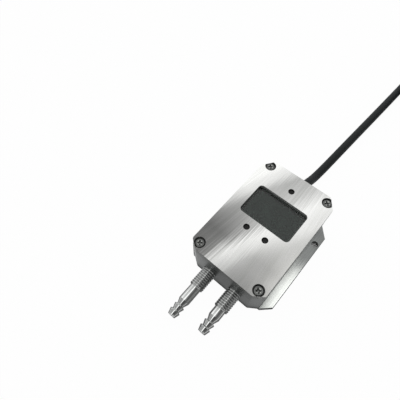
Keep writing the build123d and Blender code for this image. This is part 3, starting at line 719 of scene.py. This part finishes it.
def grommet():
    """Rubber grommet in the back wall, its tapered nose ringed so that it bends with the cable."""
    rubber = plain_finish("grommet_rubber", (0.022, 0.022, 0.024), 0.6, 0.0004, 0.15, 0.1)
    low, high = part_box("cable_gland")
    nose = WALL_OUTSIDE + GROMMET_COLLAR
    profile = [(GROMMET_BORE, low[1]), (GROMMET_FLANGE, low[1]), (GROMMET_FLANGE, WALL_INSIDE),
               (GROMMET_NECK, WALL_INSIDE), (GROMMET_NECK, WALL_OUTSIDE), (GROMMET_FLANGE, WALL_OUTSIDE),
               (GROMMET_FLANGE, nose), (GROMMET_NECK, nose)]
    pitch = (high[1] - nose) / NOSE_RINGS
    for ring in range(NOSE_RINGS):
        outside = NOSE_RADIUS - NOSE_TAPER * ring / (NOSE_RINGS - 1)
        profile += [(outside - depth, nose + (ring + along) * pitch) for depth, along in RING_SHAPE]
    profile.append((GROMMET_BORE, high[1]))
    bm = turned_along_y(blended_profile(profile, 0.00018), 0.0, ENTRY_HEIGHT, 64)
    finished_object("cable_grommet", bm, rubber, "root", ["cable_gland"])


class TRANSMITTER_OT_housing(bpy.types.Operator):
    """Makes the milled housing, its ears cut to length and its edges broken"""

    bl_idname = "transmitter.housing"
    bl_label = "Housing"

    def execute(self, context):
        settings = context.scene.transmitter_housing
        bm = merged_copy("housing")
        cut_ear_ends(bm)
        break_ear_edges(bm)
        round_edges(bm, settings.edge_round)
        weighted(finished_object("housing_milled", bm, milled_housing_finish(settings), "root",
                                 ["housing"]))
        return {"FINISHED"}


EAR_TOP = 2.7 * MM
EAR_HOLE = (25.3 * MM, 18.4 * MM)
EAR_HOLE_REACH = 2.1 * MM
EAR_CUT = (28.0 * MM, 25.0 * MM)
EAR_CUT_NORMAL = (0.734, 0.679)


def cut_ear_ends(bm):
    """Cuts the ears' rear ends slanting, clear of the box's corners."""
    for side in (-1, 1):
        bmesh.ops.bisect_plane(bm, geom=bm.verts[:] + bm.edges[:] + bm.faces[:], dist=1e-7, clear_outer=True,
                               plane_co=(side * EAR_CUT[0], EAR_CUT[1], 0.0),
                               plane_no=(side * EAR_CUT_NORMAL[0], EAR_CUT_NORMAL[1], 0.0))
        bmesh.ops.holes_fill(bm, edges=[e for e in bm.edges if e.is_boundary], sides=0)


def break_ear_edges(bm):
    """Breaks the ears' outer top edges wider than the others."""
    rim = []
    for edge in bm.edges:
        ends = [v.co for v in edge.verts]
        level = all(abs(p.z - EAR_TOP) < 1e-5 for p in ends)
        outer = all(abs(p.x) > EAR_START for p in ends)
        middle = (ends[0] + ends[1]) / 2
        hole = all(abs(abs(middle[i]) - EAR_HOLE[i]) < EAR_HOLE_REACH for i in (0, 1))
        if level and outer and not hole and edge.calc_face_angle(0.0) > 1.0:
            rim.append(edge)
    bmesh.ops.bevel(bm, geom=rim, offset=0.00038, offset_type="OFFSET", segments=2, profile=0.5,
                    affect="EDGES", clamp_overlap=False, material=-1)


COVER_EDGE = 0.06 * MM


class TRANSMITTER_OT_cover(bpy.types.Operator):
    """Makes the brushed cover, its edges broken, and the four screws"""

    bl_idname = "transmitter.cover"
    bl_label = "Cover and screws"

    def execute(self, context):
        settings = context.scene.transmitter_housing
        bm = merged_copy("cover")
        round_edges(bm, COVER_EDGE)
        close_counterbores(bm)
        layer = bm.loops.layers.uv.new("grain")
        for face in bm.faces:
            for loop in face.loops:
                loop[layer].uv = (loop.vert.co.x * 10, loop.vert.co.y * 10)
        weighted(finished_object("cover_brushed", bm, brushed_cover_finish(settings), "root",
                                 ["cover"]))
        cover_screw_heads()
        dress(plain_finish("screw_steel", (0.40, 0.39, 0.37), 0.36, 0.0003, 0.2, 0.1, 1.0),
              "display_board_screws", "main_board_screws", "terminal_screws")
        return {"FINISHED"}


WALL_THICKNESS = 0.15 * MM
SCREW_SEAT = 2.5 * MM
OPEN_BORES = (
    (19.88 * MM, 31.29 * MM, math.radians(36.14), 4.2 * MM, 0.40 * MM),
    (19.74 * MM, -32.35 * MM, math.radians(-54.78), 1.6 * MM, 0.05 * MM),
)


def close_counterbores(bm):
    """Closes the counterbores where the cover's cut corners leave them open, with a thin wall."""
    for x, y, angle, length, drop in OPEN_BORES:
        height = SCREW_SEAT + 0.1 * MM - drop
        for side in (-1, 1):
            turn = Matrix.Rotation(side * angle, 4, "Z")
            inward = turn @ Vector((-side * (WALL_THICKNESS / 2 + 0.02 * MM), 0.0, 0.0))
            place = Vector((side * x, y, COVER_TOP - drop - height / 2)) + inward
            size = Matrix.Diagonal((WALL_THICKNESS, length, height, 1.0))
            bmesh.ops.create_cube(bm, size=1.0, matrix=Matrix.Translation(place) @ turn @ size)


HEAD_RADIUS = 2.65 * MM
HEAD_REACH = 4.0 * MM
HEAD_TURNS = (36, 43, 41, 47)
RECESS_DEPTH = 1.3 * MM
RECESS_CORE = 0.4 * MM


def cover_screw_heads():
    """The four cover screws, each driven home to its own angle, with the recess's edges broken."""
    low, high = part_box("cover_screws")
    x, y = high[0] - HEAD_RADIUS, high[1] - HEAD_RADIUS
    bm = merged_copy("cover_screws")
    places = [(sx * x, sy * y) for sx in (-1, 1) for sy in (-1, 1)]
    for (cx, cy), turn in zip(places, HEAD_TURNS):
        group = [v for v in bm.verts if abs(v.co.x - cx) < HEAD_REACH and abs(v.co.y - cy) < HEAD_REACH]
        for vert in group:
            across = vert.co - Vector((cx, cy, vert.co.z))
            if vert.co.z > high[2] - RECESS_DEPTH and max(abs(across.x), abs(across.y)) < RECESS_CORE:
                vert.co += across * 0.5
        bmesh.ops.rotate(bm, cent=(cx, cy, 0.0), matrix=Matrix.Rotation(math.radians(turn), 3, "Z"), verts=group)
    round_edges(bm, 0.00005, 1)
    finished_object("cover_screws_driven", bm, screw_finish((x, y)), "root", ["cover_screws"])


def screw_finish(middle):
    """Dark plated steel, with a painted highlight round the recess where glints fall."""
    finish, tree, shader = new_finish("screw_dark_steel", (0.09, 0.088, 0.085), 0.3, 1.0)
    x, y, z = axes_of(tree)
    speck = grain(tree, 0.0004)
    ragged = maths("MULTIPLY_ADD", speck, 0.0005, far_from((maths("ABSOLUTE", x), maths("ABSOLUTE", y)), middle))
    # Painted highlight: a lighter, ragged disc round each recess on the head's top, standing in for glints.
    painted_glints = maths("MULTIPLY", spread(ragged, 1.0, 0.0, 0.00140, 0.00175),
                 spread(z, 0.0, 1.0, COVER_TOP - 0.0008, COVER_TOP - 0.0006))
    feed(shader, {
        "Base Color": two_tones(painted_glints, (0.105, 0.108, 0.105), (0.36, 0.37, 0.35)),
        "Roughness": spread(speck, 0.22, 0.38),
        "Normal": relief(speck, 0.1, 0.00003)})
    return finish


LENS_EDGE = 0.15 * MM


class TRANSMITTER_OT_window(bpy.types.Operator):
    """Makes the smoked lens and the display under it"""

    bl_idname = "transmitter.window"
    bl_label = "Window and display"

    def execute(self, context):
        settings = context.scene.transmitter_window
        bm = merged_copy("display_window")
        round_edges(bm, LENS_EDGE)
        weighted(finished_object("lens_polished", bm, lens_finish(settings), "root",
                                 ["display_window"]))
        dress(display_finish(settings), "lcd_glass")
        dress(plain_finish("black_plastic", (0.03, 0.03, 0.032), 0.5, 0.0004), "switch_bases")
        dress(plain_finish("white_plastic", (0.80, 0.80, 0.78), 0.5, 0.0005, 0.05),
              "lcd_backlight", *(name + "_button_stem" for name in BUTTONS))
        dress(plain_finish("black_rubber", (0.02, 0.02, 0.021), 0.7, 0.0004, 0.15, 0.1), "cover_gasket")
        dress(plain_finish("display_grey", (0.145, 0.15, 0.145), 0.7, 0.0004, 0.15, 0.1),
              "window_seal", "lcd_bezel", "lcd_contact_strips")
        return {"FINISHED"}


CAP_RADIUS = 1.62 * MM
FLANGE_RADIUS = 2.6 * MM
FLANGE_THICKNESS = 0.8 * MM
CAP_TOP = ((CAP_RADIUS, 0.1 * MM), (CAP_RADIUS - 0.28 * MM, 0.0), (CAP_RADIUS - 0.5 * MM, 0.02 * MM),
           (CAP_RADIUS - 0.9 * MM, 0.14 * MM), (0.0, 0.22 * MM))


class TRANSMITTER_OT_buttons(bpy.types.Operator):
    """Makes the three recessed button caps, each slightly dished"""

    bl_idname = "transmitter.buttons"
    bl_label = "Buttons"

    def execute(self, context):
        settings = context.scene.transmitter_window
        rubber = plain_finish("button_rubber", settings.cap_colour, 0.55, 0.0003, 0.2, 0.08, 0.0,
                              {"Specular IOR Level": 0.25})
        for name in BUTTONS:
            low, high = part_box(name + "_button_cap")
            x, y = middle_of(name + "_button_cap")
            flange_top = low[2] + FLANGE_THICKNESS
            profile = [(0.0, low[2]), (FLANGE_RADIUS, low[2]), (FLANGE_RADIUS, flange_top), (CAP_RADIUS, flange_top)]
            profile += [(radius, high[2] - drop) for radius, drop in CAP_TOP]
            bm = turned([(x + r, y, z) for r, z in profile], (x, y, 0), (0, 0, 1), 48, closed=False)
            finished_object(name + "_button_face", bm, rubber, name + "_button",
                            [name + "_button_cap"])
        return {"FINISHED"}


class TRANSMITTER_OT_barbs(bpy.types.Operator):
    """Turns the two hose barbs, with their cut threads and teeth"""

    bl_idname = "transmitter.barbs"
    bl_label = "Hose barbs"

    def execute(self, context):
        settings = context.scene.transmitter_barbs
        nickel = turned_metal_finish("bright_nickel", settings.nickel_colour, 0.09)
        for name, side, shank in (("long_hose_barb", -1, 0.0088), ("short_hose_barb", 1, 0.0048)):
            bm = barb_body(side * BARB_OFFSET, shank)
            cut_thread(bm, side * BARB_OFFSET, settings)
            finished_object(name + "_turned", bm, nickel, "root", [name], 50.0)
        return {"FINISHED"}


THREAD_START = -28.0 * MM
THREAD_END = -45.2 * MM
THREAD_RADIUS = 4.0 * MM
THREAD_RINGS = 150
BARB_BORE = 1.2 * MM
STUB_RADIUS, STUB_LENGTH = 2.0 * MM, 5.5 * MM
SHANK_RADIUS = 3.1 * MM
TEETH = ((2.8, 1.95), (0.6, 3.0), (2.6, 2.05), (0.6, 3.0), (2.95, 2.075))


def barb_body(x, shank):
    """One barb's turned form, with many rings along its thread."""
    profile = [(BARB_BORE, THREAD_START + STUB_LENGTH), (STUB_RADIUS, THREAD_START + STUB_LENGTH),
               (STUB_RADIUS, THREAD_START), (THREAD_RADIUS, THREAD_START), (THREAD_RADIUS, THREAD_END + 0.6 * MM),
               (THREAD_RADIUS - 0.6 * MM, THREAD_END), (SHANK_RADIUS, THREAD_END), (SHANK_RADIUS, THREAD_END - shank)]
    y = THREAD_END - shank
    for length, radius in TEETH:
        y -= length * MM
        profile.append((radius * MM, y))
    profile.append((BARB_BORE, y))
    chain = blended_profile(profile, 0.00012)
    points = []
    for before, after in zip(chain, chain[1:] + chain[:1]):
        points.append(before)
        if min(before[0], after[0]) > THREAD_RADIUS - 1e-6 and before[1] - after[1] > 0.005:
            points += [tuple(Vector(before).lerp(Vector(after), ring / THREAD_RINGS))
                       for ring in range(1, THREAD_RINGS)]
    return turned_along_y(points, x, BARB_HEIGHT, 96)


def cut_thread(bm, x, settings):
    """Cuts the thread's groove into the rings, running out at both ends."""
    for vert in bm.verts:
        across, up = vert.co.x - x, vert.co.z - BARB_HEIGHT
        radius = math.hypot(across, up)
        if not THREAD_END - 1e-6 < vert.co.y < THREAD_START + 1e-6 or radius < THREAD_RADIUS - 0.00065:
            continue
        turn = math.atan2(up, across) / math.tau
        phase = (vert.co.y / settings.thread_pitch + turn) % 1.0
        ridge = 1.0 - abs(2.0 * phase - 1.0)
        groove = min(1.0, max(0.0, (ridge - 0.40) / 0.50))
        fade = min(1.0, (THREAD_START - vert.co.y) / 0.0012)
        wanted = min(radius, THREAD_RADIUS - settings.thread_depth * groove * max(0.0, fade))
        vert.co.x = x + across * wanted / radius
        vert.co.z = BARB_HEIGHT + up * wanted / radius


class TRANSMITTER_OT_electronics(bpy.types.Operator):
    """Finishes the boards, the sensor and the small parts inside"""

    bl_idname = "transmitter.electronics"
    bl_label = "Electronics"

    def execute(self, context):
        dress(board_finish(), "display_board", "main_board")
        dress(plain_finish("component_black", (0.028, 0.028, 0.03), 0.45, 0.0003),
              "pressure_sensor", "stack_socket", "stack_header", "controller_chip", "regulator")
        dress(plain_finish("plated_brass", (0.70, 0.62, 0.42), 0.28, 0.0004, 0.1, 0.05, 1.0), "board_standoffs")
        dress(plain_finish("capacitor_can", (0.66, 0.67, 0.69), 0.3, 0.0006, 0.1, 0.05, 1.0), "capacitors")
        dress(plain_finish("green_plastic", (0.05, 0.30, 0.12), 0.45, 0.0005), "cable_terminal")
        dress(plain_finish("tie_nylon", (0.80, 0.80, 0.76), 0.5, 0.0005, 0.06), "strain_tie")
        dress(plain_finish("inner_insulation", (0.42, 0.04, 0.03), 0.42, 0.0005), "inner_leads")
        dress(plain_finish("silicone", (0.78, 0.78, 0.76), 0.45, 0.0006, 0.05, 0.04, 0.0, {"Subsurface Weight": 0.3}),
              "long_side_tube", "short_side_tube")
        return {"FINISHED"}


# Stage

class TRANSMITTER_OT_stage(bpy.types.Operator):
    """Sets the white floor, the soft lamps and the camera"""

    bl_idname = "transmitter.stage"
    bl_label = "Stage"

    def execute(self, context):
        settings = context.scene.transmitter_stage
        context.scene.view_settings.view_transform = "Standard"
        white_floor(settings)
        soft_sky(context.scene)
        soft_box("edge_box", (0.052, 0.281, 0.93), (0.060, 0.182), 6.6 * settings.lamp_level)
        # Painted shade of the floor round the part, seen only in reflections.
        grey_sheet()
        camera = bpy.data.cameras.new("camera")
        camera.sensor_fit = "HORIZONTAL"
        camera.sensor_width = 36.0
        camera.lens = settings.camera_lens
        camera.clip_start = 0.005
        view = add_object("camera", camera)
        view.matrix_world = (Matrix.Translation(Vector(settings.camera_place))
                             @ Euler(settings.camera_turn, "XYZ").to_matrix().to_4x4())
        context.scene.camera = view
        return {"FINISHED"}


def seen_as_background(tree):
    """1 for the rays that show the background: camera, mirror and see-through ones."""
    path = add_node(tree, "LightPath").outputs
    return maths("MAXIMUM", maths("MAXIMUM", path["Is Camera Ray"], path["Is Glossy Ray"]),
                 path["Is Transmission Ray"])


def flat_sheet(name, finish, middle, half_width, half_length):
    """A flat rectangle of one material."""
    bm = bmesh.new()
    size = Matrix.Diagonal((2 * half_width, 2 * half_length, 1.0, 1.0))
    bmesh.ops.create_grid(bm, x_segments=1, y_segments=1, size=0.5, matrix=Matrix.Translation(middle) @ size)
    mesh = mesh_from(name, bm)
    mesh.materials.append(finish)
    return add_object(name, mesh)


FLOOR_DROP = 0.05 * MM


def white_floor(settings):
    """A white table top that still takes a faint shadow."""
    finish = bpy.data.materials.new("table_white")
    tree = empty_tree(finish)
    tone = mottled(grain(tree, 0.004, 2.0, 0.5), settings.floor_colour, 0.99, 1.0)
    matt = add_node(tree, "BsdfDiffuse", {"Color": tone})
    glow = add_node(tree, "Emission", {"Color": (1, 1, 1, 1), "Strength": 1.0})
    mix = add_node(tree, "MixShader", {
        0: maths("MULTIPLY", seen_as_background(tree), outside_part(tree)), 1: matt.outputs[0], 2: glow.outputs[0]})
    add_node(tree, "OutputMaterial", {"Surface": mix.outputs[0]})
    floor = flat_sheet("table_top", finish, (0.0, 0.0, -FLOOR_DROP), 3.0, 3.0)


def outside_part(tree):
    """How much of the white glow the floor has: most of it, and none under the ears' holes."""
    shares = [spread(maths("ABSOLUTE", axis), 0.0, 0.97, edge - 0.0005, edge)
              for axis, edge in zip(axes_of(tree), (0.0275, 0.0215))]
    return maths("MAXIMUM", *shares)


# Painted shade seen only in reflections: the sheet's middle, half sizes, and tones along X in millimetres.
SHEET_MIDDLE = (0.0, -25.5 * MM, 0.0)
SHEET_HALF = (60.0 * MM, 59.5 * MM)
REFLECTED_SHADE_TONES = ((-30, 0.70), (-22, 0.68), (-6, 0.34), (8, 0.34), (16, 0.40), (24, 0.48), (34, 0.46))


def grey_sheet():
    """A grey sheet under the part that only its mirror images show: painted shade of the floor round the part, seen
    in its reflections, so that its edges stand out.
    """
    finish = bpy.data.materials.new("reflected_floor_shade")
    tree = empty_tree(finish)
    x, y = axes_of(tree)[:2]
    corner = maths("MULTIPLY_ADD", maths("ABSOLUTE", x), 0.577, maths("MULTIPLY_ADD", y, -0.817, -0.03782))
    clear = maths("MAXIMUM", corner, maths("MULTIPLY_ADD", y, -1.0, -0.034))
    # Painted shade in the reflections: darker under the barbs, near-black close to the part and pale further out to
    # its sides.
    shade_under_barbs = mixed(spread(y, 0.0, 1.0, -0.047, -0.041), grey(0.20), tone_ramp(x, REFLECTED_SHADE_TONES))
    beside = maths("MAXIMUM", spread(x, 0.0, 1.0, 0.0312, 0.0330), spread(x, 1.0, 0.0, -0.024, -0.022))
    close = two_tones(beside, (0.10, 0.10, 0.10), (0.97, 0.97, 0.97))
    glow = add_node(tree, "Emission", {
        "Color": mixed(spread(clear, 0.0, 1.0, 0.0006, 0.0016), close, shade_under_barbs), "Strength": 1.0})
    add_node(tree, "OutputMaterial", {"Surface": glow.outputs[0]})
    sheet = flat_sheet("grey_sheet", finish, SHEET_MIDDLE, *SHEET_HALF)
    for ray in ("camera", "diffuse", "transmission", "shadow", "volume_scatter"):
        setattr(sheet, "visible_" + ray, False)


SKY_HIGH = ((-1000, 0.7), (-985, 0.8), (-965, 1.6), (-760, 1.6), (-715, 0.5), (-655, 0.5), (-600, 1.15),
            (-270, 1.15), (-200, 1.8), (90, 1.8), (170, 0.42), (460, 0.30), (600, 0.14), (800, 0.14), (900, 0.28),
            (1000, 0.28))
SKY_LOW = ((-1000, 0.5), (-240, 0.55), (-190, 2.0), (-40, 2.0), (30, 0.2), (300, 0.09), (700, 0.12), (1000, 0.28))


def soft_sky(scene):
    """White behind the part, and a soft tent of light that is darker to the right and in front."""
    world = bpy.data.worlds.new("soft_tent")
    tree = empty_tree(world)
    x, y, z = axes_of(tree, "Generated")
    right = maths("ADD", spread(maths("MULTIPLY_ADD", y, -0.4, x), 1.0, 0.15, 0.22, 0.40),
                  spread(x, 0.0, 0.14, 0.60, 0.85))
    sides = maths("MULTIPLY", right, spread(x, 1.1, 1.05, -0.60, -0.35))
    rear = maths("MULTIPLY", sides, spread(y, 0.36, 1.0, -0.25, 0.05))
    ahead = mixed(spread(y, 0.0, 1.0, -0.25, 0.02), tone_ramp(x, SKY_LOW), tone_ramp(x, SKY_HIGH))
    low_ahead = maths("MULTIPLY", spread(y, 1.0, 0.0, -0.66, -0.54), spread(z, 1.0, 0.0, 0.55, 0.68))
    tent = mixed(low_ahead, mixed(spread(y, 0.0, 1.0, 0.16, 0.21), ahead, rear), grey(0.82))
    path = add_node(tree, "LightPath").outputs
    mirrored = maths("MAXIMUM", path["Is Glossy Ray"], path["Is Transmission Ray"])
    level_rays = maths("MULTIPLY", mirrored, spread(z, 1.0, 0.0, 0.01, 0.04))
    white = maths("MAXIMUM", path["Is Camera Ray"], level_rays)
    background = add_node(tree, "Background", {"Color": (1, 1, 1, 1), "Strength": blended(tent, 1.0, white)})
    add_node(tree, "OutputWorld", {"Surface": background.outputs[0]})
    scene.world = world


def soft_box(name, place, size, radiance):
    """A soft box overhead, facing down, with its brightness given as seen in a mirror."""
    lamp = bpy.data.lights.new(name, "AREA")
    lamp.shape = "RECTANGLE"
    lamp.size, lamp.size_y = size
    lamp.energy = radiance * math.pi * size[0] * size[1]
    lamp.color = (1.0, 0.985, 0.955)
    made = add_object(name, lamp)
    made.matrix_world = Matrix.Translation(place)
    made.visible_camera = False


class TRANSMITTER_PT_panel(bpy.types.Panel):
    """Lists the transmitter's pieces, sizes and colours."""

    bl_label = "Transmitter"
    bl_idname = "TRANSMITTER_PT_panel"
    bl_space_type = "VIEW_3D"
    bl_region_type = "UI"
    bl_category = "Transmitter"

    def draw(self, context):
        for name, group in GROUPS.items():
            box = self.layout.box()
            box.label(text=group.__doc__.rstrip("."))
            for prop in group.__annotations__:
                box.prop(getattr(context.scene, name), prop)
        for operator in OPERATORS:
            self.layout.operator(operator.bl_idname)


GROUPS = {
    "transmitter_housing": TransmitterHousing,
    "transmitter_window": TransmitterWindow,
    "transmitter_barbs": TransmitterBarbs,
    "transmitter_cable": TransmitterCable,
    "transmitter_stage": TransmitterStage,
}
OPERATORS = (
    TRANSMITTER_OT_stage,
    TRANSMITTER_OT_cable,
    TRANSMITTER_OT_housing,
    TRANSMITTER_OT_cover,
    TRANSMITTER_OT_window,
    TRANSMITTER_OT_buttons,
    TRANSMITTER_OT_barbs,
    TRANSMITTER_OT_electronics,
)


CLASSES = (*GROUPS.values(), *OPERATORS, TRANSMITTER_PT_panel)


def register():
    for member in CLASSES:
        bpy.utils.register_class(member)
    for name, group in GROUPS.items():
        setattr(bpy.types.Scene, name, PointerProperty(type=group))


def unregister():
    for name in GROUPS:
        delattr(bpy.types.Scene, name)
    for member in reversed(CLASSES):
        bpy.utils.unregister_class(member)


def main():
    """Makes every piece in order."""
    register()
    bpy.ops.transmitter.stage()
    bpy.ops.transmitter.cable()
    bpy.ops.transmitter.housing()
    bpy.ops.transmitter.cover()
    bpy.ops.transmitter.window()
    bpy.ops.transmitter.buttons()
    bpy.ops.transmitter.barbs()
    bpy.ops.transmitter.electronics()


if __name__ == "__main__":
    main()
